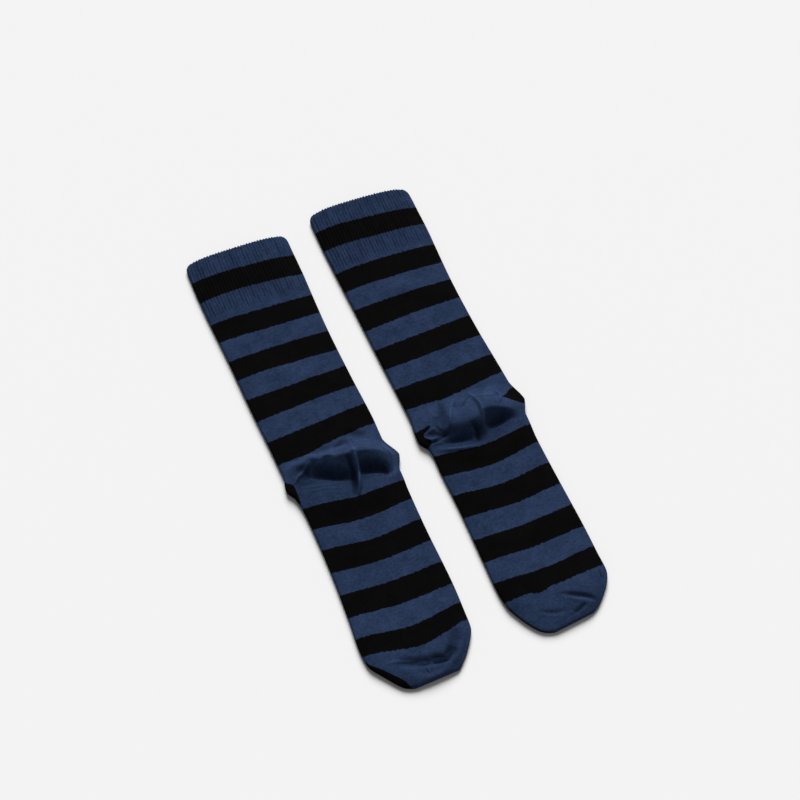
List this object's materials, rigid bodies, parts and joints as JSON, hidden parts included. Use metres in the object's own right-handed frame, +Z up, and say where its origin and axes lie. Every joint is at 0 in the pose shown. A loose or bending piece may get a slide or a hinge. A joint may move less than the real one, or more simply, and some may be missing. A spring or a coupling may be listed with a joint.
{
  "type": "pair of socks",
  "caption": "Pair of adult crew socks laid flat side by side, heel side up: ribbed cuff, striped leg and foot, soft heel pocket and closed toe.",
  "frame": {"origin": "middle of the pair's box, on the surface that the socks lie on", "axes": "+Y along the socks from toe to cuff, +X across the pair, +Z up out of the backs"},
  "size_m": [0.2002, 0.4228, 0.0183],
  "materials": {
    "knit": "matt fine cotton knit, muted blue with black stripes"
  },
  "bodies": {
    "root": {"left_sock": "knit", "right_sock": "knit"}
  },
  "joints": []
}
